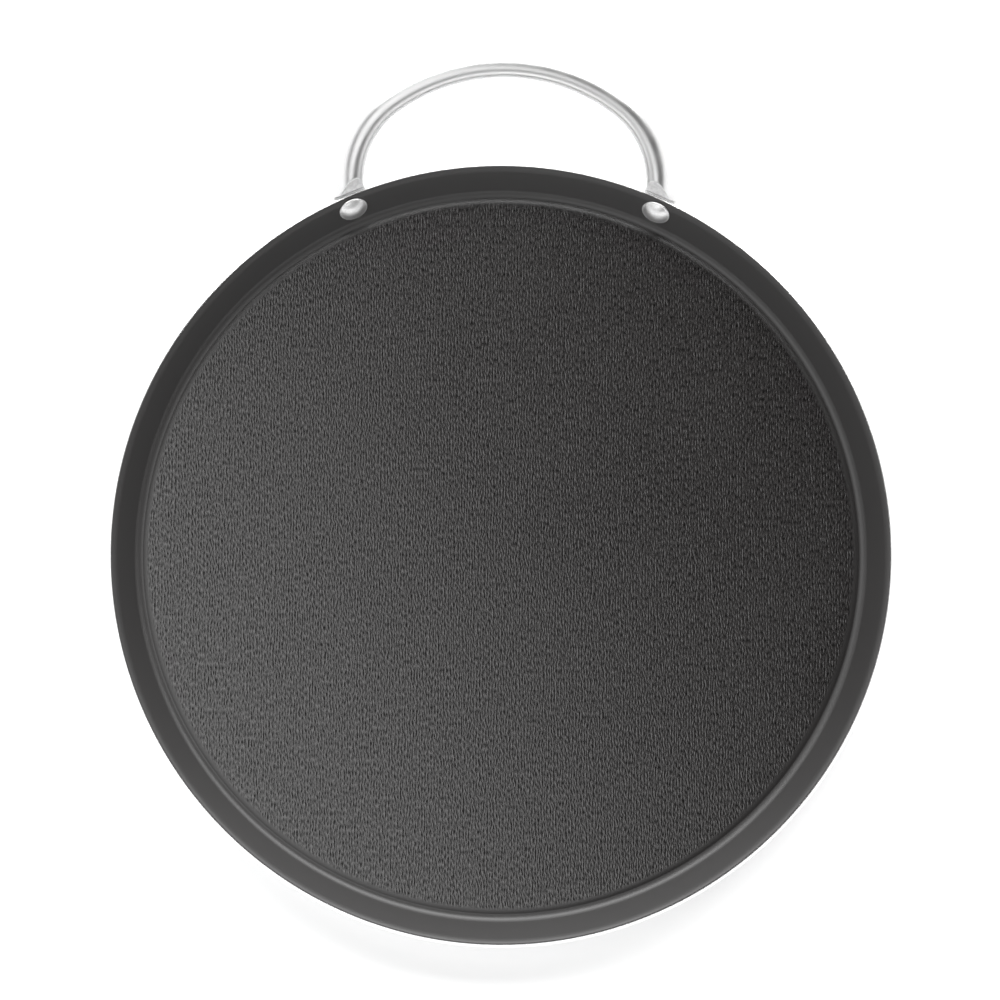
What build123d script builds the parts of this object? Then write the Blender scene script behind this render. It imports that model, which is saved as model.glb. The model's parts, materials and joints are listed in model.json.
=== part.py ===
from build123d import *

import os
from math import asin, atan2, cos, degrees, radians, sin

# A round stovetop griddle, or comal: a shallow pressed pan with a non-stick
# cooking face and one loop handle, held by two rivets. Millimetres. The origin
# is the centre of the base's underside, +Z is up and +Y points to the handle.

# ---- driving dimensions: the pan ----
rim_diameter = 292.0  # over the cut edge of the rim
inside_depth = 12.6  # from the cooking floor up to the rim
sheet = 1.8  # aluminium sheet
wall_slope = 60.0  # the straight part of the wall, from level
lip_slope = 35.0  # the rim, where the wall flares out
bend_radius = 3.5  # inside bend from the gutter to the wall
lip_radius = 8.0  # the flare, on the cooking side
gutter_slope = 20.0  # steepest fall of the floor's edge into the gutter
shoulder_radius = 6.0  # the floor's edge, where it starts to fall
gutter_radius = 1.5  # the gutter's side next to the floor
edge_round = 0.25  # deburred corners of the cut edge

# ---- driving dimensions: the non-stick coating ----
coating = 0.25  # drawn thicker than the real film
bare_margin = 0.30  # metal left bare beside the cut edge

# ---- driving dimensions: the handle ----
foot_spacing = 114.0  # between the two legs, and between the two rivets
rod_diameter = 8.5
arch_height = 43.6  # from the tops of the legs to the crown, in its own plane
handle_rise = 22.0  # how steeply the handle climbs away from the pan
haunch_radius = 37.0  # bend at each side of the arch
leg_above_rim = 1.0  # rod's centre over the rim where the arch begins
leg_set_out = 2.7  # rod's centre there, in front of the foot's pressed face
pad_thickness = 2.5
pad_diameter = 13.0  # round end, about the rivet
pad_flare_up = 6.2  # the flare's corners, up from the rivet
pad_flare_in = 6.7  # corner towards the middle of the handle
pad_flare_out = 4.6  # corner away from the middle
pad_corner = 1.0  # radius of those corners
pad_top_diameter = 6.0  # round end that runs up into the rod
step_up = 5.6  # where the pressed step leaves the pad, up from the rivet
step_lean = 27.0  # lean of the step, from square to the pad
rim_gap = 0.2  # between the foot and the pan's cut edge

# ---- driving dimensions: the rivets ----
rivet_below_lip = 3.3  # from the start of the flare down to the rivet
head_diameter = 10.9
head_edge = 0.7  # upright edge of the head
head_dome = 1.9  # dome over that edge
shank_diameter = 5.0
hole_clearance = 0.05  # round the shank, in radius
tail_diameter = 7.2  # formed end, outside
tail_edge = 0.5
tail_dome = 1.1

# ---- worked out from those: the pan's section ----
wall = radians(wall_slope)
lip = radians(lip_slope)
fall = radians(gutter_slope)
rim_corner = rim_diameter / 2 + edge_round * (sin(lip) + cos(lip) - 1)
rim_height = sheet + inside_depth
gutter_drop = (shoulder_radius + gutter_radius) * (1 - cos(fall))
bend_rise = bend_radius * (1 - cos(wall))
lip_rise = lip_radius * (cos(lip) - cos(wall))
cone_length = (inside_depth + gutter_drop - bend_rise - lip_rise) / sin(wall)
lip_start_r = rim_corner - sheet * sin(lip) - lip_radius * (sin(wall) - sin(lip))
lip_start_z = rim_height - lip_rise
gutter_r = lip_start_r - cone_length * cos(wall) - bend_radius * sin(wall)
floor_r = gutter_r - (shoulder_radius + gutter_radius) * sin(fall)

# ---- worked out from those: a rivet and its foot ----
leg_x = foot_spacing / 2
rivet_r = lip_start_r - rivet_below_lip * cos(wall)
rivet_z = lip_start_z - rivet_below_lip * sin(wall)
rivet_turn = asin(leg_x / rivet_r)
# A flat pad is sunk this far so that it beds on the round wall to its edges.
pad_bed = pad_diameter**2 / 8 / (rivet_r / sin(wall)) + hole_clearance
pad_face = sheet - pad_bed
pad_back = sheet + pad_thickness


def cooking_line(lift, bare):
    """The cooking face from the axis to the rim, raised by lift, less bare."""
    floor = Line((0, sheet + lift), (floor_r, sheet + lift))
    shoulder = JernArc(floor @ 1, floor % 1, shoulder_radius + lift, -gutter_slope)
    gutter = JernArc(shoulder @ 1, shoulder % 1, gutter_radius - lift, gutter_slope)
    bend = JernArc(gutter @ 1, gutter % 1, bend_radius - lift, wall_slope)
    cone = Line(bend @ 1, bend @ 1 + (bend % 1) * cone_length)
    flare = wall_slope - lip_slope - degrees(bare / lip_radius)
    lip_arc = JernArc(cone @ 1, cone % 1, lip_radius + lift, -flare)
    return [floor, shoulder, gutter, bend, cone, lip_arc]


def under_line():
    """The underside from the axis to the rim: a flat base, one bend, the wall."""
    outside = bend_radius + sheet
    foot = Vector(lip_start_r + sheet * sin(wall), lip_start_z - sheet * cos(wall))
    drop = (foot.Y - outside * (1 - cos(wall))) / sin(wall)
    base_r = foot.X - drop * cos(wall) - outside * sin(wall)
    base = Line((0, 0), (base_r, 0))
    bend = JernArc(base @ 1, base % 1, outside, wall_slope)
    cone = Line(bend @ 1, foot)
    lip_arc = JernArc(foot, cone % 1, lip_radius - sheet, lip_slope - wall_slope)
    return [base, bend, cone, lip_arc]


def turned(lower, upper):
    """The solid of revolution between a lower and an upper line."""
    end = Line(lower[-1] @ 1, upper[-1] @ 1)
    middle = Line(lower[0] @ 0, upper[0] @ 0)
    return revolve(Plane.XZ * make_face([*lower, end, *upper, middle]), Axis.Z)


def make_shell():
    """The pressed pan, before its rivet holes are made."""
    shell = turned(under_line(), cooking_line(0, 0))
    circles = shell.edges().filter_by(GeomType.CIRCLE)
    return fillet(circles.sort_by(SortBy.RADIUS)[-2:], edge_round)


def make_film():
    """The coating, before its rivet holes are made."""
    return turned(cooking_line(0, bare_margin), cooking_line(coating, bare_margin))


def foot_plane():
    """At the +X rivet, on the metal's cooking face.

    z points out through the wall, y up the wall and x to the handle's middle.
    """
    middle = Vector(-cos(rivet_turn), sin(rivet_turn), 0)
    away = Vector(sin(rivet_turn), cos(rivet_turn), 0)
    outward = away * sin(wall) - Vector(0, 0, cos(wall))
    origin = away * rivet_r + Vector(0, 0, rivet_z)
    return Plane(origin=origin, x_dir=middle, z_dir=outward)


def both_sides(shape):
    """A shape at the +X foot, and its mirror image at the other foot."""
    return [shape, mirror(shape, Plane.YZ)]


def rivet_bores():
    """The drills for the two rivet holes, right through wall and pad."""
    drill = Cylinder(shank_diameter / 2 + hole_clearance, 4 * pad_back)
    return both_sides(foot_plane() * drill)


def button(diameter, edge, dome):
    """A rivet's button, from z = 0 up: an upright edge under a domed top."""
    radius = diameter / 2
    ball = (radius**2 + dome**2) / 2 / dome
    side = Line((radius, 0), (radius, edge))
    top = CenterArc((0, edge + dome - ball), ball, 90, -degrees(asin(radius / ball)))
    middle = Line((0, edge + dome), (0, 0))
    bottom = Line((0, 0), (radius, 0))
    return revolve(Plane.XZ * make_face([side, top, middle, bottom]), Axis.Z)


def make_rivet(shell, film):
    """The +X rivet: button head inside, shank, formed tail on the pad outside."""
    sunk = sheet / 2
    head = button(head_diameter, sunk + coating + head_edge, head_dome)
    head = foot_plane() * Pos(Z=sunk) * Rot(X=180) * head - shell - film
    length = coating + head_edge + pad_back
    shank = Pos(Z=pad_back - length / 2) * Cylinder(shank_diameter / 2, length)
    tail = Pos(Z=pad_back) * button(tail_diameter, tail_edge, tail_dome)
    return head + foot_plane() * shank + foot_plane() * tail


def arch_plane():
    """The arch's own plane, climbing away from the pan from the legs' tops."""
    z = rim_height + leg_above_rim
    leg_r = rivet_r + (pad_face + leg_set_out + (z - rivet_z) * cos(wall)) / sin(wall)
    y = (leg_r - leg_x * sin(rivet_turn)) / cos(rivet_turn)
    climb = radians(handle_rise)
    return Plane(origin=(0, y, z), x_dir=(1, 0, 0), z_dir=(0, -sin(climb), cos(climb)))


def arch_line():
    """The rod's centre line: a three-centred arch on two straight legs."""
    flat = leg_x - haunch_radius
    gap = arch_height - haunch_radius
    below = (flat**2 - gap**2) / 2 / gap
    turn = degrees(atan2(below, flat))
    leg = Line((leg_x, -rod_diameter), (leg_x, 0))
    right = JernArc(leg @ 1, leg % 1, haunch_radius, turn)
    crown = JernArc(right @ 1, right % 1, arch_height + below, 180 - 2 * turn)
    left = JernArc(crown @ 1, crown % 1, haunch_radius, turn)
    end = Line(left @ 1, left @ 1 + (left % 1) * rod_diameter)
    return Wire([leg, right, crown, left, end])


def pressing_tools():
    """What the press takes off the +X leg: over its face, and below its step."""
    block = 4 * rod_diameter
    over = Pos(Z=pad_face - block / 2) * Box(block, block, block)
    step = Pos(Y=step_up, Z=pad_back) * Rot(X=-step_lean)
    below = step * Pos(Y=-block / 2) * Box(block, block, block)
    return [foot_plane() * over, foot_plane() * below]


def make_pad():
    """The +X pad: round under its rivet, flared, and run up into the rod."""
    leg = foot_plane().to_local_coords(arch_plane().from_local_coords((leg_x, 0, 0)))
    corners = [
        Circle(pad_diameter / 2),
        Pos(pad_flare_in, pad_flare_up) * Circle(pad_corner),
        Pos(-pad_flare_out, pad_flare_up) * Circle(pad_corner),
        Pos(leg.X, leg.Y) * Circle(pad_top_diameter / 2),
    ]
    outline = make_hull([corner.edge() for corner in corners])
    plate = Pos(Z=pad_face) * extrude(outline, pad_back - pad_face)
    return foot_plane() * plate


def make_handle(shell):
    """One rod bent to an arch, its two ends pressed flat against the wall."""
    path = arch_plane() * arch_line()
    section = Plane(origin=path @ 0, z_dir=path % 0) * Circle(rod_diameter / 2)
    handle = sweep(section, path)
    for tool in pressing_tools():
        handle -= both_sides(tool)
    handle += both_sides(make_pad())
    edge_r = rim_corner - sheet / 2 * sin(lip)
    edge_z = rim_height - sheet / 2 * cos(lip)
    handle -= Pos(Z=edge_z) * Torus(edge_r, sheet / 2 + rim_gap)
    return handle - shell - rivet_bores()


def main():
    os.makedirs("parts", exist_ok=True)
    shell = make_shell()
    film = make_film()
    rivets = both_sides(make_rivet(shell, film))
    nodes = {
        "pan_body": shell - rivet_bores(),
        "nonstick_coating": film - rivet_bores(),
        "handle": make_handle(shell),
        "rivet_right": rivets[0],
        "rivet_left": rivets[1],
    }
    for name, shape in nodes.items():
        export_step(shape, f"parts/{name}.step")
        print(name, "volume", round(shape.volume), "mm3")


main()
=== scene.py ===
# %% [markdown]
# # A round stovetop griddle with a loop handle
#
# The real thing is five pieces: a pan pressed from aluminium sheet, the dark non-stick film
# baked on its cooking face, one bent steel rod for a handle, and two rivets. The CAD model
# already holds their sizes. This lesson gives each piece a finer surface and its own finish.
# Everything is in metres, in the CAD model's frame: the origin is under the middle of the
# pan, +Z is up and +Y points to the handle.

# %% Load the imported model
import json
import math

import bmesh
import bpy
import numpy as np
from mathutils import Matrix, Vector


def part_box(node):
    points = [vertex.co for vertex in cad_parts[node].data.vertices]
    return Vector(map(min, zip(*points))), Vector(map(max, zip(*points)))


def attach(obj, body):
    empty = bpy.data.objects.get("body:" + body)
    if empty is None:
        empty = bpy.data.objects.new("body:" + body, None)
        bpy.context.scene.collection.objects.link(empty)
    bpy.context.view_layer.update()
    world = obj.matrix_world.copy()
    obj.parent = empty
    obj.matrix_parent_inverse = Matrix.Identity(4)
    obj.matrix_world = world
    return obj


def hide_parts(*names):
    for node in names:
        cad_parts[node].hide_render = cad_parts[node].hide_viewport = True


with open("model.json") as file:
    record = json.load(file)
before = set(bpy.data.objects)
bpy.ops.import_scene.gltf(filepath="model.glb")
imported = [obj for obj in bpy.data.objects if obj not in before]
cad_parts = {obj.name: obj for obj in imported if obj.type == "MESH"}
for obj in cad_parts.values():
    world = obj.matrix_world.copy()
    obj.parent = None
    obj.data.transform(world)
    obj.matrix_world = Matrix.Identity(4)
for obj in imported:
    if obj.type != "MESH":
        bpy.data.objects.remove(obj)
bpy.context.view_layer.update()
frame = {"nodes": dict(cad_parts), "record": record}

MM = 0.001
print("CAD nodes:", ", ".join(sorted(frame["nodes"])))

# %% [markdown]
# ## The camera first
#
# The griddle is seen from almost straight above, from a little to the front, the way a
# catalogue shows flat cookware. A long lens from far away keeps the round rim round. A
# camera looks along its own -Z axis, so three unit vectors describe how it is held: right,
# up and back. It aims at the rim's height, a little behind the pan's middle, so that the
# handle is in the picture. The last small turn is about the line of sight, because the pan
# isn't laid quite square to the camera.

# %% Camera
camera_distance = 1.2
camera_height_angle = math.radians(86.0)
camera_turn = math.radians(0.62)
lens_mm = 116.2
sensor_mm = 36.0
rim_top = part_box("pan_body")[1].z
aim_right = -0.54 * MM
aim_back = 19.3 * MM
aim = Vector((aim_right, aim_back, rim_top))


def aimed_camera(target, distance, height_angle, turn):
    """A camera at a distance and an angle above the horizon, seen from -Y.

    back points from the target to the camera; right and up are square to it, and both are
    turned about back.
    """
    back = Vector((0, -math.cos(height_angle), math.sin(height_angle)))
    level = Vector((1, 0, 0))
    upright = back.cross(level)
    right = level * math.cos(turn) + upright * math.sin(turn)
    up = upright * math.cos(turn) - level * math.sin(turn)
    data = bpy.data.cameras.new("catalogue_camera")
    data.lens = lens_mm
    data.sensor_width = sensor_mm
    camera = bpy.data.objects.new("catalogue_camera", data)
    bpy.context.scene.collection.objects.link(camera)
    place = Matrix((right, up, back)).transposed().to_4x4()
    place.translation = target + back * distance
    camera.matrix_world = place
    return camera


bpy.context.scene.camera = aimed_camera(aim, camera_distance, camera_height_angle, camera_turn)
print("camera at, m:", [round(c, 3) for c in bpy.context.scene.camera.matrix_world.translation])

# %% [markdown]
# ## From a grid of points to a mesh
#
# Every piece here is a grid: rows that follow one another along the piece, and columns that
# go round it. A face joins four neighbours. The last column meets the first, so each row is
# a closed loop. Where a row shrinks to a point, as on the pan's axis, or to a line, its
# points are welded afterwards, and that closes the surface without any cap.

# %% A grid's mesh


def grid_piece(name, grid, values=None):
    """An object from a grid of points, shaped (rows, columns, 3).

    Row i, column j is joined to its neighbours i+1 and j+1, and the last column to the
    first. values maps an attribute's name to one number or one vector for each point.
    """
    rows, columns = grid.shape[:2]
    number = np.arange(rows * columns).reshape(rows, columns)
    number = np.hstack([number, number[:, :1]])
    corners = [number[:-1, :-1], number[:-1, 1:], number[1:, 1:], number[1:, :-1]]
    quads = np.stack(corners, axis=-1).reshape(-1, 4)
    mesh = bpy.data.meshes.new(name)
    mesh.from_pydata(grid.reshape(-1, 3).tolist(), [], quads.tolist())
    for key, value in (values or {}).items():
        kind, field = ("FLOAT_VECTOR", "vector") if value.ndim == 3 else ("FLOAT", "value")
        layer = mesh.attributes.new(key, kind, "POINT")
        layer.data.foreach_set(field, value.astype(np.float32).ravel())
    piece = bpy.data.objects.new(name, mesh)
    bpy.context.scene.collection.objects.link(piece)
    tidy(mesh)
    return piece


def tidy(mesh, weld=1e-7):
    """Welds points that coincide, drops faces without area and turns all faces outwards."""
    work = bmesh.new()
    work.from_mesh(mesh)
    bmesh.ops.remove_doubles(work, verts=work.verts, dist=weld)
    bmesh.ops.dissolve_degenerate(work, edges=work.edges, dist=weld)
    bmesh.ops.recalc_face_normals(work, faces=work.faces)
    work.to_mesh(mesh)
    work.free()
    mesh.shade_smooth()


def report(piece):
    """Prints a piece's size, its triangles, and how many of its edges are open."""
    work = bmesh.new()
    work.from_mesh(piece.data)
    open_edges = sum(not edge.is_manifold for edge in work.edges)
    triangles = sum(len(face.verts) - 2 for face in work.faces)
    points = np.array([vert.co for vert in work.verts])
    volume = work.calc_volume(signed=True)
    work.free()
    size = np.round(np.ptp(points, axis=0) / MM, 2)
    print(f"{piece.name}: {size} mm, {triangles} triangles, {open_edges} open edges,",
          f"{volume / MM**3:.0f} mm3")


# %% [markdown]
# ## The pan's section
#
# A pan is pressed from one disc of sheet, so its section is a strip of even thickness that
# bends: flat floor, a soft shoulder down into a shallow gutter, a bend, a straight wall, and
# a lip that flares. Straight runs and arcs, each starting in the direction where the last
# one ended, are just how a bending tool thinks of it. The overall sizes are read from the
# CAD boxes, and the radii are the tool's.

# %% Sizes of the section
pan_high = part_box("pan_body")[1]
floor_mount = [m for m in frame["record"]["mounts"] if m["name"] == "cooking_floor"][0]

film = 0.25 * MM
sheet = floor_mount["pos_m"][2] - film
wall = math.radians(60)
lip = math.radians(35)
fall = math.radians(20)
shoulder_radius = 6 * MM
gutter_radius = 1.5 * MM
bend_radius = 3.5 * MM
lip_radius = 8 * MM
edge_round = 0.25 * MM

corner_loss = edge_round * (math.sin(lip) + math.cos(lip) - 1)
rim_corner = pan_high.x + corner_loss
rim_height = pan_high.z + corner_loss
inside_depth = rim_height - sheet
gutter_drop = (shoulder_radius + gutter_radius) * (1 - math.cos(fall))
bend_rise = bend_radius * (1 - math.cos(wall))
lip_rise = lip_radius * (math.cos(lip) - math.cos(wall))
cone_length = (inside_depth + gutter_drop - bend_rise - lip_rise) / math.sin(wall)
lip_start_r = rim_corner - sheet * math.sin(lip) - lip_radius * (math.sin(wall) - math.sin(lip))
lip_start_z = rim_height - lip_rise
gutter_r = lip_start_r - cone_length * math.cos(wall) - bend_radius * math.sin(wall)
floor_r = gutter_r - (shoulder_radius + gutter_radius) * math.sin(fall)
print(f"sheet {sheet / MM:.2f} mm, film {film / MM:.2f} mm,",
      f"inside depth {inside_depth / MM:.2f} mm")
print(f"flat floor {2 * floor_r / MM:.1f} mm across, gutter {2 * gutter_r / MM:.1f} mm across")

# %% Walking along a section


def walk(start, heading, steps, run_step=8 * MM, arc_step=math.radians(3)):
    """Points and headings along runs and arcs in the (radius, height) plane.

    A step is (length, 0) for a straight run or (radius, turn) for an arc. A run's points are
    its start plus a share of its length along the heading. An arc's points are its centre
    plus the radius, square to a heading that has grown by a share of the turn.
    """
    points = [np.array([start], float)]
    headings = [np.array([heading], float)]
    for size, turn in steps:
        here = points[-1][-1]
        before = headings[-1][-1]
        count = math.ceil(abs(turn) / arc_step) if turn else math.ceil(size / run_step)
        share = np.arange(1, count + 1) / count
        after = before + share * turn
        if turn:
            side = math.copysign(size, turn)
            centre = here + side * np.array([-math.sin(before), math.cos(before)])
            fresh = centre + side * np.column_stack([np.sin(after), -np.cos(after)])
        else:
            ahead = np.array([math.cos(before), math.sin(before)])
            fresh = here + share[:, None] * size * ahead
        points.append(fresh)
        headings.append(after)
    return np.concatenate(points), np.concatenate(headings)


def cooking_face(bare):
    """The metal's cooking face from the axis outwards, stopping short of the cut edge."""
    flare = wall - lip - bare / lip_radius
    steps = [(floor_r, 0), (shoulder_radius, -fall), (gutter_radius, fall),
             (bend_radius, wall), (cone_length, 0), (lip_radius, -flare)]
    return walk((0, sheet), 0, steps)


def turned(outline, columns):
    """A (radius, height) outline carried round Z: (r cos a, r sin a, z) for every angle a."""
    angle = np.linspace(0, 2 * np.pi, columns, endpoint=False)
    radius, height = outline[:, :1], outline[:, 1:]
    return np.stack([radius * np.cos(angle), radius * np.sin(angle),
                     height + 0 * angle], axis=-1)


# %% [markdown]
# ## The pressed pan
#
# The underside is the same strip seen from below: a flat base, one outer bend, the wall and
# the lip, whose radius is smaller there by the sheet's thickness. A trimming tool cuts the
# edge square to the sheet, and deburring rounds its two corners. That cut edge is the bright
# line round the dark cooking face, so it is worth real geometry: two arcs and a short run.

# %% Pan
columns_round = 384


def underside():
    """The underside from the axis out, then round the cut edge up to the cooking face."""
    outer_bend = bend_radius + sheet
    foot_r = lip_start_r + sheet * math.sin(wall)
    foot_height = lip_start_z - sheet * math.cos(wall)
    drop = (foot_height - outer_bend * (1 - math.cos(wall))) / math.sin(wall)
    base_r = foot_r - drop * math.cos(wall) - outer_bend * math.sin(wall)
    inner_lip = lip_radius - sheet
    flare = wall - lip - edge_round / inner_lip
    quarter = math.pi / 2
    steps = [(base_r, 0), (outer_bend, wall), (drop, 0), (inner_lip, -flare),
             (edge_round, quarter), (sheet - 2 * edge_round, 0), (edge_round, quarter)]
    fine, _ = walk((0, 0), 0, steps)
    return fine


inside, _ = cooking_face(edge_round)
pan = grid_piece("pressed_pan", turned(np.vstack([underside(), inside[::-1]]), columns_round))
report(pan)

# %% [markdown]
# ## The non-stick film
#
# The film is sprayed on and baked before the pan is pressed, so it follows the metal
# everywhere and stops just short of the trimmed edge. It is the metal's own line, pushed out
# along its normals by the film's thickness. Over the last millimetre the thickness runs out,
# as a sprayed edge does, so hardly any step shows.

# %% Film
bare_margin = 0.30 * MM
feather = 1.2 * MM
thin_end = 0.12


def film_outline():
    """Up the top of the film and back along the metal.

    A point of the top is the metal's point plus thickness times its normal, which is the
    heading turned a quarter. Over the feather's length the thickness falls to thin_end, as
    a share of the whole.
    """
    metal, heading = cooking_face(bare_margin)
    step = np.linalg.norm(np.diff(metal, axis=0), axis=1)
    to_edge = step.sum() - np.concatenate([[0], np.cumsum(step)])
    share = thin_end + (1 - thin_end) * np.sqrt(np.clip(to_edge / feather, 0, 1))
    normal = np.column_stack([-np.sin(heading), np.cos(heading)])
    normal[0] = (0, 1)
    top = metal + normal * (film * share)[:, None]
    return np.vstack([top, metal[::-1]])


coat = grid_piece("nonstick_skin", turned(film_outline(), columns_round))
report(coat)

# %% [markdown]
# ## Where the two feet sit
#
# Each end of the handle is pressed flat and riveted to the wall's outside. Its own small
# frame makes the rest easy: the origin is where the rivet's axis meets the cooking face, z
# points out through the wall, y up the wall and x towards the middle of the handle. The foot
# on the +X side is worked out, and the other is its mirror image.

# %% Foot frame
foot_spacing = 114.0 * MM
rivet_below_lip = 3.3 * MM
rivet_r = lip_start_r - rivet_below_lip * math.cos(wall)
rivet_z = lip_start_z - rivet_below_lip * math.sin(wall)
rivet_turn = math.asin(foot_spacing / 2 / rivet_r)

foot_x = np.array([-math.cos(rivet_turn), math.sin(rivet_turn), 0])
away = np.array([math.sin(rivet_turn), math.cos(rivet_turn), 0])
foot_z = away * math.sin(wall) - np.array([0, 0, math.cos(wall)])
foot_y = away * math.cos(wall) + np.array([0, 0, math.sin(wall)])
foot_axes = np.stack([foot_x, foot_y, foot_z])
foot_origin = away * rivet_r + np.array([0, 0, rivet_z])
mirror_x = np.array([-1, 1, 1])


def to_world(local):
    """Foot coordinates to the pan's: the origin plus x, y and z along the foot's axes."""
    return foot_origin + local @ foot_axes


def to_foot(world):
    """The pan's coordinates to the foot's: how far a point lies along each axis."""
    return (world - foot_origin) @ foot_axes.T


wall_curve = math.sin(wall) / (2 * rivet_r)
print(f"rivets at x = +-{foot_spacing / 2 / MM:.1f} mm,",
      f"{math.degrees(rivet_turn):.1f} degrees off +Y")

# %% [markdown]
# ## Rivets
#
# A rivet starts as a pin with a ready-made button head. The head sits in the pan, the shank
# goes through wall and foot, and the far end is hammered into a smaller button. That is one
# outline turned about the foot's z axis. The head's seat isn't flat: it beds on a round wall
# that falls away by x squared, so the seat's points are moved by that much. The dome stops
# short of the head's edge and leaves a narrow brim, which catches its own line of light. The
# brim's corners are rounded, and the dark line round the head is the shadow under them.

# %% Rivet shape
head_radius = 5.45 * MM
head_edge = 0.7 * MM
head_dome = 1.9 * MM
head_brim = 0.5 * MM
head_round = 0.3 * MM
shank_radius = 2.5 * MM
pad_thickness = 2.5 * MM
pad_back = sheet + pad_thickness
tail_radius = 3.6 * MM
tail_edge = 0.5 * MM
tail_dome = 1.1 * MM
tail_brim = 0.25 * MM
tail_round = 0.2 * MM
columns_rivet = 96
rows_dome = 28
rows_corner = 8
rows_shank = 12


def button(radius, edge, dome, brim, soft):
    """A button's outline from its top on the axis down to its seat: (radius, height).

    The dome is an arc of a circle, dome high over a base that is a brim smaller than the
    radius. From there a quarter circle of the soft radius turns down to the edge's side, and
    another turns in under it.
    """
    base = radius - brim
    ball = (base**2 + dome**2) / 2 / dome
    swing = np.linspace(0, math.asin(base / ball), rows_dome)
    cap = np.column_stack([ball * np.sin(swing), edge + dome - ball * (1 - np.cos(swing))])
    bend = np.linspace(0, np.pi / 2, rows_corner)
    inner = radius - soft
    over = np.column_stack([inner + soft * np.sin(bend), edge - soft * (1 - np.cos(bend))])
    under = np.column_stack([inner + soft * np.cos(bend), soft * (1 - np.sin(bend))])
    return np.vstack([cap, over, under])


def rivet_grid():
    """The rivet in the foot's frame, z outwards, with its seat bent to the round wall."""
    head = button(head_radius, head_edge, head_dome, head_brim, head_round)
    tail = button(tail_radius, tail_edge, tail_dome, tail_brim, tail_round)
    head_side = np.column_stack([head[:, 0], -film - head[:, 1]])
    tail_side = np.column_stack([tail[:, 0], pad_back + tail[:, 1]])
    shank_line = np.linspace(-film, pad_back, rows_shank)
    shank = np.column_stack([shank_radius + 0 * shank_line, shank_line])
    outline = np.vstack([head_side, shank, tail_side[::-1]])
    angle = np.linspace(0, 2 * np.pi, columns_rivet, endpoint=False)
    radius = outline[:, :1]
    height = outline[:, 1:] + 0 * angle
    x = radius * np.cos(angle)
    y = radius * np.sin(angle)
    depth_in_edge = np.clip(1 + (height + film) / head_edge, 0, 1)
    on_head = (height < 0) & (radius > shank_radius)
    height = height - np.where(on_head, depth_in_edge * wall_curve * x**2, 0)
    return np.stack([x, y, height], axis=-1)


rivet_points = rivet_grid()
rivet_right = grid_piece("right_rivet", to_world(rivet_points))
rivet_left = grid_piece("left_rivet", to_world(rivet_points) * mirror_x)
report(rivet_right)
report(rivet_left)

# %% [markdown]
# ## The handle's rod
#
# The handle is one round rod. Its middle line is a three-centred arch: two tighter haunches
# and a wide crown, on two short straight legs. The arch lies in a plane that climbs away from
# the pan. Measured along the rod from the top of the right leg, the heading grows in the
# haunch and then more slowly in the crown, and the place follows from the heading. Only half
# the arch is worked out: the other half is its mirror image.

# %% Arch
handle_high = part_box("handle")[1]
rod_radius = 4.25 * MM
handle_rise = math.radians(22)
haunch_radius = 37 * MM
leg_above_rim = 1.0 * MM
leg_set_out = 2.7 * MM
pad_diameter = 13 * MM
hole_clearance = 0.05 * MM

pad_bed = pad_diameter**2 * math.sin(wall) / 8 / rivet_r + hole_clearance
pad_face = sheet - pad_bed
leg_x = foot_spacing / 2
leg_z = rim_height + leg_above_rim
leg_r = rivet_r + (pad_face + leg_set_out + (leg_z - rivet_z) * math.cos(wall)) / math.sin(wall)
leg_y = (leg_r - leg_x * math.sin(rivet_turn)) / math.cos(rivet_turn)
arch_height = (handle_high.y - rod_radius - leg_y) / math.cos(handle_rise)

flat = leg_x - haunch_radius
gap = arch_height - haunch_radius
below = (flat**2 - gap**2) / 2 / gap
haunch_turn = math.atan2(below, flat)
crown_radius = arch_height + below
haunch_length = haunch_radius * haunch_turn
half_length = haunch_length + crown_radius * (math.pi / 2 - haunch_turn)
down = np.array([0, math.sin(handle_rise), -math.cos(handle_rise)])
climb = np.array([0, math.cos(handle_rise), math.sin(handle_rise)])
print(f"arch {arch_height / MM:.1f} mm high, crown radius {crown_radius / MM:.1f} mm,",
      f"half length {half_length / MM:.1f} mm")


def rod_surface(along, angle):
    """A point on the round rod, for a distance along it and an angle round it.

    The middle line's heading is haunch angle plus crown angle. Its place is the sum of both
    arcs' chords. The surface is the radius away, between the inside of the arch and down.
    """
    haunch = np.clip(along, 0, haunch_length) / haunch_radius
    crown = np.clip(along - haunch_length, 0, None) / crown_radius
    heading = haunch + crown
    x = leg_x - haunch_radius * (1 - np.cos(haunch))
    x = x - crown_radius * (np.cos(haunch) - np.cos(haunch + crown))
    y = np.minimum(along, 0) + haunch_radius * np.sin(haunch)
    y = y + crown_radius * (np.sin(haunch + crown) - np.sin(haunch))
    middle = x[..., None] * np.array([1, 0, 0]) + y[..., None] * climb
    middle = middle + np.array([0, leg_y, leg_z])
    inner = -np.cos(heading)[..., None] * np.array([1, 0, 0])
    inner = inner - np.sin(heading)[..., None] * climb
    across = np.cos(angle)[..., None] * inner + np.sin(angle)[..., None] * down
    return middle + rod_radius * across


# %% [markdown]
# ## The pressed feet
#
# A press squeezes the rod's end between two dies. The inner die is flat and lies against the
# wall, so it cuts a flat facet across the round rod. The outer die leaves a plate with a
# round end. In between the rod turns into the plate. This could be a rod and a plate joined
# by a boolean, but a join like that has hard seams, and real pressed metal flows. So every
# row of the foot is a blend of two outlines: a slice of the rod and a slice of the plate. A
# soft clamp then plays the flat die, and also keeps clear of the pan's wall and rim.

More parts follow.
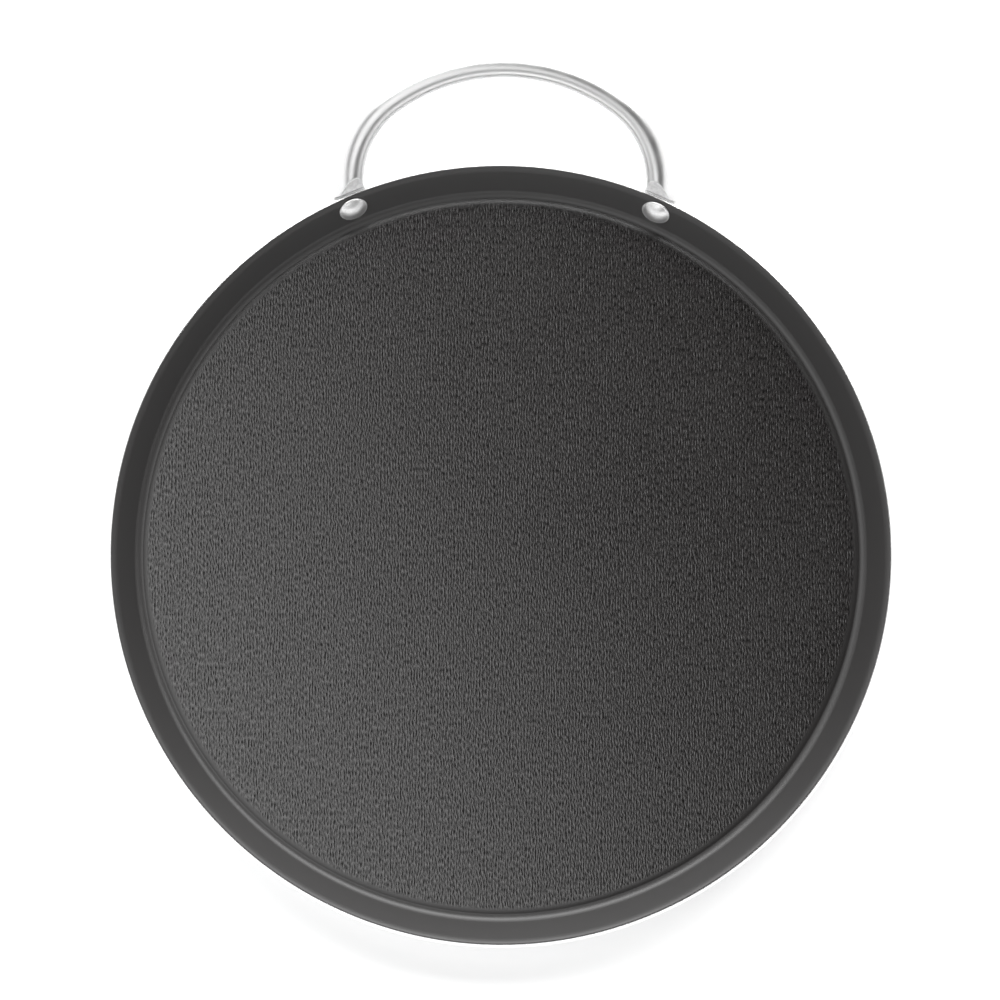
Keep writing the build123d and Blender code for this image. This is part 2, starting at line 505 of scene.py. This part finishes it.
# %% Slices of the plate and of the rod
foot_columns = 128
squareness = 2.2
plate_sunk = 0.8 * MM
corner_y = 6.5 * MM
corner_in = 7.6 * MM
corner_out = 5.7 * MM
corner_soft = 1.0 * MM
widen_in = 0.18
narrow_in = 0.30
widen_out = 0.13
narrow_out = 1.25
plate_low = -pad_diameter / 2
plate_round = 0.7 * MM
leg_top = to_foot(np.array([[leg_x, leg_y, leg_z]]))[0]
leg_down = -climb @ foot_axes.T
rod_angle = np.linspace(0, 2 * np.pi, foot_columns, endpoint=False)


def soft_max(a, b, soft):
    """The larger of two values, with the corner between them rounded over soft."""
    return (a + b + np.sqrt((a - b) ** 2 + soft**2)) / 2


def soft_step(value, start, end):
    """0 before start and 1 after end, with a smooth S between."""
    share = np.clip((value - start) / (end - start), 0, 1)
    return share * share * (3 - 2 * share)


def plate_sides(y):
    """The plate's left and right edges at a height y up the wall.

    Below the rivet's middle the edge is a half circle. Above it each side is a straight run
    out to a corner and another in to the rod, the nearer of the two with a rounded corner.
    """
    radius = pad_diameter / 2
    round_end = np.sqrt(np.clip(radius**2 - np.minimum(y, 0) ** 2, 0, None))
    rise = np.maximum(y, 0)
    past = y - corner_y
    right = -soft_max(-round_end - widen_in * rise, narrow_in * past - corner_in, corner_soft)
    left = soft_max(-round_end + widen_out * rise, narrow_out * past - corner_out, corner_soft)
    return left, right


def squared(share):
    """Turns a cosine or sine into a flatter wave, which makes a circle a soft rectangle."""
    return squareness * share / np.sqrt(1 + (squareness**2 - 1) * share**2)


def plate_slice(y, angle):
    """The plate's outline at height y: a soft rectangle, with its front sunk in the die."""
    left, right = plate_sides(y)
    end = np.clip((y - plate_low) / plate_round, 0, 1)
    shrink = np.sqrt(np.clip(1 - (1 - end) ** 2, 0, None))
    front = pad_face - plate_sunk
    back = pad_back - plate_round * (1 - shrink)
    x = (left + right) / 2 + (right - left) / 2 * squared(np.cos(angle))
    z = (front + back) / 2 + (back - front) / 2 * squared(np.sin(angle))
    return x, z


def rod_slice(y, lean, angle):
    """The rod's outline where a plane y = const cuts it, in the foot's frame.

    A ring square to the rod is slid along it, point by point, until every point has the
    same y. lean goes from 1, fully slid, to 0, square to the rod.
    """
    ring = to_foot(rod_surface(0 * angle, angle)) - leg_top
    slide = lean * ring[..., 1] / leg_down[1]
    along = (y - leg_top[1]) / -leg_down[1] + slide
    return to_foot(rod_surface(along, angle))


# %% The flat die, the wall and the rim
rim_gap = 0.2 * MM
crisp = 0.08 * MM
rim_edge_r = rim_corner - sheet / 2 * math.sin(lip)
rim_edge_z = rim_height - sheet / 2 * math.cos(lip)
edge_out, edge_up = rim_edge_r - rivet_r, rim_edge_z - rivet_z
rim_y = edge_out * math.cos(wall) + edge_up * math.sin(wall)
rim_z = edge_out * math.sin(wall) - edge_up * math.cos(wall)


def inner_limit(x, y):
    """How far out the foot's inner face must lie at (x, y), in the foot's frame.

    It is the furthest of three: the flat die; the outside of the wall and of its flaring
    lip, whose arc rises as its radius less the root of radius squared less y squared; and a
    groove of even width round the rim's cut edge.
    """
    outer_lip = lip_radius - sheet
    lip_reach = outer_lip * math.sin(wall - lip)
    up = np.clip(y - rivet_below_lip, 0, lip_reach)
    flare = outer_lip - np.sqrt(outer_lip**2 - up**2)
    wall_out = sheet - wall_curve * x**2 + np.where(y < rim_y, flare, -sheet)
    groove = sheet / 2 + rim_gap
    off = y - rim_y
    clear = rim_z - wall_curve * x**2 + np.sqrt(np.clip(groove**2 - off**2, 0, None))
    return np.maximum(np.maximum(pad_face + 0 * x, wall_out), clear)


# %% [markdown]
# Two attributes ride along with the handle's points, for its finish. One says where the die
# has pressed, and the other is a place on the unrolled rod, so that polishing marks can
# follow the bend. Its third number is the distance along the rod, much shortened, which
# draws every mark out lengthwise.

# %% Handle
rows_end = 18
rows_plate = 150
rows_leg = 44
rows_arch = 100
plate_ends = 5.3 * MM
back_is_rod = 8.3 * MM
side_is_rod = 11.6 * MM
lean_length = 14 * MM
mark_stretch = 30


def row_places():
    """Each row's distance along the rod from the leg's top, negative on the foot."""
    per_y = -leg_down[1]
    tip = plate_low + plate_round * (1 - np.cos(np.linspace(0, np.pi / 2, rows_end)))
    plate = np.linspace(tip[-1], leg_top[1], rows_plate + 1)[1:]
    foot = (np.concatenate([tip, plate]) - leg_top[1]) / per_y
    leg = np.linspace(0, lean_length, rows_leg + 1)[1:]
    arch = np.linspace(lean_length, half_length, rows_arch + 1)[1:]
    return np.concatenate([foot, leg, arch])[:, None]


def handle_half(along, angle):
    """The +X half of the handle in its foot's frame, from the tip to the middle of the crown.

    Each row is a slice of the rod, mixed with a slice of the plate by how high it lies: the
    plate's back gives way to the rod first and its sides later. Past the foot the slices
    lean back until they are square to the rod.
    """
    y = leg_top[1] - leg_down[1] * along
    rod = rod_slice(y + 0 * angle, 1 - soft_step(along, 0, lean_length), angle)
    plate_x, plate_z = plate_slice(y + 0 * angle, angle)
    to_side = soft_step(y, plate_ends, side_is_rod)
    to_back = soft_step(y, plate_ends, back_is_rod)
    x = plate_x + (rod[..., 0] - plate_x) * to_side
    z = plate_z + (rod[..., 2] - plate_z) * to_back
    x[0] = x[0].mean()
    return np.stack([x, rod[..., 1], z], axis=-1)


def both_halves(half, mirror=1):
    """The +X half, and the same rows back again for the other side without the middle one."""
    return np.concatenate([half, (half * mirror)[-2::-1]])


along = row_places()
angle = rod_angle[None, :] + 0 * along
half = handle_half(along, angle)
limit = inner_limit(half[..., 0], half[..., 1])
pressed = np.clip((limit - half[..., 2]) / crisp + 0.5, 0, 1)
half[..., 2] = soft_max(half[..., 2], limit, crisp)
half = to_world(half)
half[-1, :, 0] = 0
lengthways = np.concatenate([along, 2 * half_length - along[-2::-1]]) / mark_stretch
unrolled = both_halves(rod_radius * np.stack([np.cos(angle), np.sin(angle)], axis=-1))
marks = np.concatenate([unrolled, lengthways[..., None] + 0 * unrolled[..., :1]], axis=-1)
handle = grid_piece("loop_handle", both_halves(half, mirror_x),
                    {"pressed": both_halves(pressed), "marks": marks})
report(handle)

# %% [markdown]
# ## Holes for the shanks
#
# The shank needs a hole through the wall, the film and the foot. The heads cover the holes,
# but a part that is taken apart should have them. A boolean with a drill is the usual way,
# and its result is kept as the piece's mesh.

# %% Drill


def drill_grid(radius, length, columns=48):
    """A closed rod about the foot's z axis, for cutting: (radius, height) turned round z."""
    outline = np.array([[0, -length], [radius, -length], [radius, length], [0, length]])
    return turned(outline, columns)


def bore(piece, drills):
    """Cuts the drills out of the piece and keeps the result as its mesh."""
    for drill in drills:
        cut = piece.modifiers.new("bore", "BOOLEAN")
        cut.object = drill
        cut.solver = "EXACT"
    ready = piece.evaluated_get(bpy.context.evaluated_depsgraph_get())
    mesh = bpy.data.meshes.new_from_object(ready)
    piece.modifiers.clear()
    old = piece.data
    piece.data = mesh
    mesh.name = old.name
    bpy.data.meshes.remove(old)


hole_radius = shank_radius + hole_clearance
drill_length = 12 * MM
drill_points = to_world(drill_grid(hole_radius, drill_length))
drills = [grid_piece("drill_right", drill_points),
          grid_piece("drill_left", drill_points * mirror_x)]
for piece in ((pan, coat, handle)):
    bore(piece, drills)
    report(piece)
for drill in drills:
    bpy.data.objects.remove(drill)

# %% [markdown]
# ## Building finishes from nodes
#
# Each finish is one Principled shader with patterns that drive its colour, roughness and
# bump. A small helper adds a node, sets its choices and fills or links its inputs, so that
# each finish below reads as a recipe.

# %% Node helper


def add(tree, kind, inputs=(), **choices):
    """A new shader node. An input given as a socket is linked, and a plain value is set."""
    made = tree.nodes.new("ShaderNode" + kind)
    for key, value in choices.items():
        setattr(made, key, value)
    for key, value in dict(inputs).items():
        if isinstance(value, bpy.types.NodeSocket):
            tree.links.new(value, made.inputs[key])
        else:
            made.inputs[key].default_value = value
    return made


def blank(name):
    """A material with an empty node tree, and that tree."""
    material = bpy.data.materials.new(name)
    material.use_nodes = True
    material.node_tree.nodes.clear()
    return material, material.node_tree


def finish_tree(tree, shader_inputs):
    """Ends a tree with a Principled shader that holds these inputs."""
    shader = add(tree, "BsdfPrincipled", shader_inputs)
    add(tree, "OutputMaterial", {"Surface": shader.outputs["BSDF"]})


def noise(tree, where, scale, detail=2.0, roughness=0.5):
    """A noise value, read at where stretched by scale, a number of cells per metre each way."""
    spread = add(tree, "VectorMath", {0: where, 1: scale}, operation="MULTIPLY")
    made = add(tree, "TexNoise", {"Vector": spread.outputs[0], "Scale": 1.0, "Detail": detail,
                                  "Roughness": roughness})
    return made.outputs["Fac"]


def math_node(tree, operation, *values):
    """One Math node's result."""
    return add(tree, "Math", dict(enumerate(values)), operation=operation).outputs[0]


def ramp(tree, value, low, high, to_low=0.0, to_high=1.0, kind="LINEAR"):
    """A value moved from one range to another, and held at its ends."""
    sockets = {"Value": value, "From Min": low, "From Max": high, "To Min": to_low,
               "To Max": to_high}
    return add(tree, "MapRange", sockets, interpolation_type=kind).outputs["Result"]


def radius_from_axis(tree, where):
    """How far a point lies from the Z axis: the length of (x, y, 0)."""
    level = add(tree, "VectorMath", {0: where, 1: (1, 1, 0)}, operation="MULTIPLY")
    return add(tree, "VectorMath", {0: level.outputs[0]}, operation="LENGTH").outputs["Value"]


def mixed_colour(tree, share, first, second):
    """A colour between two colours."""
    mix = add(tree, "Mix", {0: share}, data_type="RGBA")
    mix.inputs["A"].default_value = (*first, 1)
    mix.inputs["B"].default_value = (*second, 1)
    return mix.outputs["Result"]


# %% [markdown]
# ## The non-stick finish
#
# The floor of the pan has a linen look: the sheet is rolled with fine threads that run one
# way, about a millimetre apart and broken every millimetre or two, and the film follows.
# The wall was stretched smooth by the press. The threads are a sine across the pan whose
# phase wanders with noise, and more noise breaks them up along their length. The film is
# glossier on a thread than between two. A mask by radius keeps them on the floor.

# %% Non-stick material
thread_pitch = 1.12 * MM
thread_wander = 14.0
slub_share = 1.2
grain_share = 0.8
linen_height = 0.020 * MM
linen_shade = 0.45
film_dark = (0.0010, 0.0006, 0.0005)
film_light = (0.0165, 0.0144, 0.0140)
film_gloss = 0.92
gloss_swing = 0.34
least_gloss = 0.1


def nonstick():
    """Dark warm grey film, linen on the floor and satin on the wall."""
    material, tree = blank("nonstick_film")
    where = add(tree, "TexCoord").outputs["Object"]
    radius = radius_from_axis(tree, where)
    on_floor = ramp(tree, radius, floor_r - 0.5 * MM, floor_r + 1.2 * MM, 1.0, 0.0, "SMOOTHSTEP")
    split = add(tree, "SeparateXYZ", {0: where})
    wander = noise(tree, where, (260, 90, 1), 2.0)
    phase = math_node(tree, "MULTIPLY_ADD", split.outputs["X"], 2 * math.pi / thread_pitch,
                      math_node(tree, "MULTIPLY", wander, thread_wander))
    thread = math_node(tree, "SINE", phase)
    broken = noise(tree, where, (500, 900, 1), 1.0)
    thread = math_node(tree, "MULTIPLY", thread, ramp(tree, broken, 0.35, 0.65, 0.0, 1.0))
    slub = noise(tree, where, (2000, 650, 1), 0.0)
    slub = ramp(tree, slub, 0.25, 0.75, -1.0, 1.0)
    weave = math_node(tree, "MULTIPLY_ADD", slub, slub_share, thread)
    linen = math_node(tree, "MULTIPLY", weave, on_floor)
    grain = noise(tree, where, (2200, 2200, 2200), 2.0)
    relief = math_node(tree, "MULTIPLY_ADD", grain, grain_share, linen)
    bump = add(tree, "Bump", {"Height": relief, "Strength": 1.0, "Distance": linen_height})
    cloud = noise(tree, where, (14, 14, 14), 3.0)
    shade = ramp(tree, cloud, 0.3, 0.7, 0.45, 0.55)
    shade = math_node(tree, "MULTIPLY_ADD", linen, linen_shade, shade)
    colour = mixed_colour(tree, shade, film_dark, film_light)
    gloss = math_node(tree, "MULTIPLY_ADD", linen, gloss_swing, film_gloss)
    gloss = math_node(tree, "MAXIMUM", gloss, least_gloss)
    rough = ramp(tree, radius, gutter_r, gutter_r + 2.5 * MM, 0.38, 0.52)
    rough = math_node(tree, "MULTIPLY_ADD", on_floor, -0.14, rough)
    rough = math_node(tree, "MULTIPLY_ADD", cloud, 0.06, rough)
    finish_tree(tree, {"Base Color": colour, "Roughness": rough, "Normal": bump.outputs[0],
                       "Specular IOR Level": gloss})
    return material


# %% [markdown]
# ## Bare aluminium
#
# Outside, the pan is satin aluminium with the fine rings that a spinning brush leaves. Rings
# are noise read at (radius, radius, height): it changes quickly outwards and not at all round
# the pan. The trimmed edge is brighter, because a blade cut it. The rivets are a paler metal
# with fine pits.

# %% Aluminium materials
ring_height = 0.004 * MM
pit_height = 0.006 * MM
pan_shade = (0.56, 0.57, 0.58)
cut_shade = (0.92, 0.92, 0.92)
rivet_dark = (0.74, 0.74, 0.74)
rivet_light = (0.88, 0.88, 0.88)


def brushed_pan():
    """Satin aluminium with rings round the Z axis, and a brighter trimmed edge."""
    material, tree = blank("pressed_aluminium")
    where = add(tree, "TexCoord").outputs["Object"]
    radius = radius_from_axis(tree, where)
    height = add(tree, "SeparateXYZ", {0: where}).outputs["Z"]
    ring_place = add(tree, "CombineXYZ", {"X": radius, "Y": height, "Z": 0.0}).outputs[0]
    rings = noise(tree, ring_place, (2600, 2600, 1), 3.0, 0.6)
    broad = noise(tree, ring_place, (180, 180, 1), 2.0)
    cloud = noise(tree, where, (30, 30, 30), 3.0)
    edge = ramp(tree, radius, rim_corner - 2.2 * MM, rim_corner - 1.2 * MM)
    top = ramp(tree, height, rim_height - 2.2 * MM, rim_height - 1.4 * MM)
    cut = math_node(tree, "MULTIPLY", edge, top)
    rough = ramp(tree, rings, 0.3, 0.7, 0.30, 0.42)
    rough = math_node(tree, "MULTIPLY_ADD", cut, -0.10, rough)
    tone = math_node(tree, "MULTIPLY_ADD", cloud, 0.5, math_node(tree, "MULTIPLY", broad, 0.5))
    tone = math_node(tree, "ADD", ramp(tree, tone, 0.35, 0.65, 0.0, 0.3), cut)
    colour = mixed_colour(tree, tone, pan_shade, cut_shade)
    bump = add(tree, "Bump", {"Height": rings, "Strength": 1.0, "Distance": ring_height})
    finish_tree(tree, {"Base Color": colour, "Roughness": rough, "Normal": bump.outputs[0],
                       "Metallic": 1.0})
    return material


def rivet_metal():
    """Soft aluminium with the faint rings and pits of the tool that held it."""
    material, tree = blank("rivet_aluminium")
    where = add(tree, "TexCoord").outputs["Object"]
    grain = noise(tree, where, (1800, 1800, 1800), 3.0, 0.6)
    cloud = noise(tree, where, (260, 260, 260), 2.0)
    rough = ramp(tree, cloud, 0.3, 0.7, 0.40, 0.50)
    colour = mixed_colour(tree, ramp(tree, grain, 0.3, 0.7), rivet_dark, rivet_light)
    bump = add(tree, "Bump", {"Height": grain, "Strength": 1.0, "Distance": pit_height})
    finish_tree(tree, {"Base Color": colour, "Roughness": rough, "Normal": bump.outputs[0],
                       "Metallic": 1.0})
    return material


# %% [markdown]
# ## Polished steel
#
# The rod is polished, but by a belt and not to a mirror, so the room shows in it as soft
# bands, with hair-fine marks along its length. The press leaves the flat of each foot
# frosted, a paler and mottled grey.

# %% Steel material
mark_height = 0.0015 * MM
mottle_share = 4.0
steel_round = (0.63, 0.63, 0.63)
steel_pressed = (0.95, 0.95, 0.95)


def polished_rod():
    """Steel with fine lengthwise marks, paler and rougher where the die has pressed it."""
    material, tree = blank("polished_steel")
    where = add(tree, "TexCoord").outputs["Object"]
    place = add(tree, "Attribute", attribute_name="marks").outputs["Vector"]
    dull = add(tree, "Attribute", attribute_name="pressed").outputs["Fac"]
    hair = noise(tree, place, (3200, 3200, 3200), 3.0, 0.6)
    cloud = noise(tree, where, (140, 140, 140), 2.0)
    mottle = noise(tree, where, (900, 900, 900), 2.0, 0.6)
    rough = ramp(tree, cloud, 0.3, 0.7, 0.35, 0.42)
    rough = math_node(tree, "MULTIPLY_ADD", dull, 0.18, rough)
    tone = math_node(tree, "MULTIPLY", dull, ramp(tree, mottle, 0.35, 0.65, 0.6, 1.0))
    colour = mixed_colour(tree, tone, steel_round, steel_pressed)
    relief = math_node(tree, "MULTIPLY", mottle, dull)
    relief = math_node(tree, "MULTIPLY_ADD", relief, mottle_share, hair)
    bump = add(tree, "Bump", {"Height": relief, "Strength": 1.0, "Distance": mark_height})
    finish_tree(tree, {"Base Color": colour, "Roughness": rough, "Normal": bump.outputs[0],
                       "Metallic": 1.0})
    return material


# %% Put the finishes on
rivet_finish = rivet_metal()
finishes = [
    (pan, brushed_pan(), "pan_body", "pan_metal"),
    (coat, nonstick(), "nonstick_coating", "coating"),
    (handle, polished_rod(), "handle", "handle_metal"),
    (rivet_left, rivet_finish, "rivet_left", "rivet_metal"),
    (rivet_right, rivet_finish, "rivet_right", "rivet_metal"),
]
for piece, material, node, slot in finishes:
    piece.data.materials.clear()
    piece.data.materials.append(material)
    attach(piece, "root")
    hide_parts(node)
    print(piece.name, "stands for", node, "in", material.name)

# %% [markdown]
# ## Floor and light
#
# A pale matt table in a pale room, with one large soft light overhead to the front left and
# a broad one behind. The film is almost black, so what it shows is the lights in its satin
# gloss: the overhead light makes the floor paler to the left, and the back light and
# the room's walls pick out the gutter and the sloping wall.

# %% Floor
floor_half = 3.0
table_glow = 0.5
table_dark = (0.64, 0.64, 0.64)
table_light = (0.66, 0.66, 0.66)


def pale_floor():
    """A flat square under the pan, in matt pale paper, lifted a little by its own glow."""
    side = np.array([[-1, -1, 0], [1, -1, 0], [1, 1, 0], [-1, 1, 0]]) * floor_half
    mesh = bpy.data.meshes.new("pale_floor")
    mesh.from_pydata(side.tolist(), [], [(0, 1, 2, 3)])
    obj = bpy.data.objects.new("pale_floor", mesh)
    bpy.context.scene.collection.objects.link(obj)
    material, tree = blank("pale_paper")
    where = add(tree, "TexCoord").outputs["Object"]
    tone = noise(tree, where, (4, 4, 4), 2.0)
    colour = mixed_colour(tree, tone, table_dark, table_light)
    finish_tree(tree, {"Base Color": colour, "Roughness": 0.9, "Emission Color": (1, 1, 1, 1),
                       "Emission Strength": table_glow})
    mesh.materials.append(material)
    return obj


pale_floor()

# %% Lights


def soft_light(name, lean, bearing, distance, width, height, radiance):
    """A rectangular light that faces the pan.

    lean is its angle off the vertical and bearing its angle from +Y towards +X. An even
    light of radiance L and area A gives off a power of pi times L times A.
    """
    data = bpy.data.lights.new(name, "AREA")
    data.shape = "RECTANGLE"
    data.size = width
    data.size_y = height
    data.energy = math.pi * radiance * width * height
    lamp = bpy.data.objects.new(name, data)
    bpy.context.scene.collection.objects.link(lamp)
    lean, bearing = math.radians(lean), math.radians(bearing)
    level = Vector((-math.cos(bearing), math.sin(bearing), 0))
    out = Vector((math.sin(lean) * math.sin(bearing), math.sin(lean) * math.cos(bearing),
                  math.cos(lean)))
    place = Matrix((level, out.cross(level), out)).transposed().to_4x4()
    place.translation = out * distance
    lamp.matrix_world = place
    lamp.visible_camera = False
    return lamp


soft_light("overhead_light", lean=23, bearing=236, distance=1.2, width=1.3, height=0.92,
           radiance=1.78)
soft_light("back_light", lean=52, bearing=3, distance=1.3, width=2.5, height=0.62,
           radiance=7.8)

# %% Room


def studio_room(overhead, horizon, band, lift_to_back, side_dip):
    """A pale room: bright walls front and back, fading to a dim ceiling.

    A direction's height is its z. The brightness falls evenly from horizon at z = 0 to
    overhead at z = band. The walls change towards +Y by lift_to_back times y, and dim to
    the sides by side_dip times x squared.
    """
    room = bpy.data.worlds.new("studio")
    room.use_nodes = True
    tree = room.node_tree
    direction = add(tree, "TexCoord").outputs["Generated"]
    split = add(tree, "SeparateXYZ", {0: direction})
    wall_light = ramp(tree, split.outputs["Z"], 0.0, band, horizon - overhead, 0.0)
    across = math_node(tree, "MULTIPLY", split.outputs["X"], split.outputs["X"])
    tilt = math_node(tree, "MULTIPLY_ADD", split.outputs["Y"], lift_to_back, 1.0)
    tilt = math_node(tree, "MULTIPLY_ADD", across, -side_dip, tilt)
    level = math_node(tree, "MULTIPLY_ADD", wall_light, tilt, overhead)
    tree.links.new(level, tree.nodes["Background"].inputs["Strength"])
    tree.nodes["Background"].inputs["Color"].default_value = (1, 1, 1, 1)
    return room


bpy.context.scene.world = studio_room(overhead=0.05, horizon=3.2, band=0.5,
                                      lift_to_back=-0.05, side_dip=0.45)
bpy.context.scene.view_settings.view_transform = "Standard"
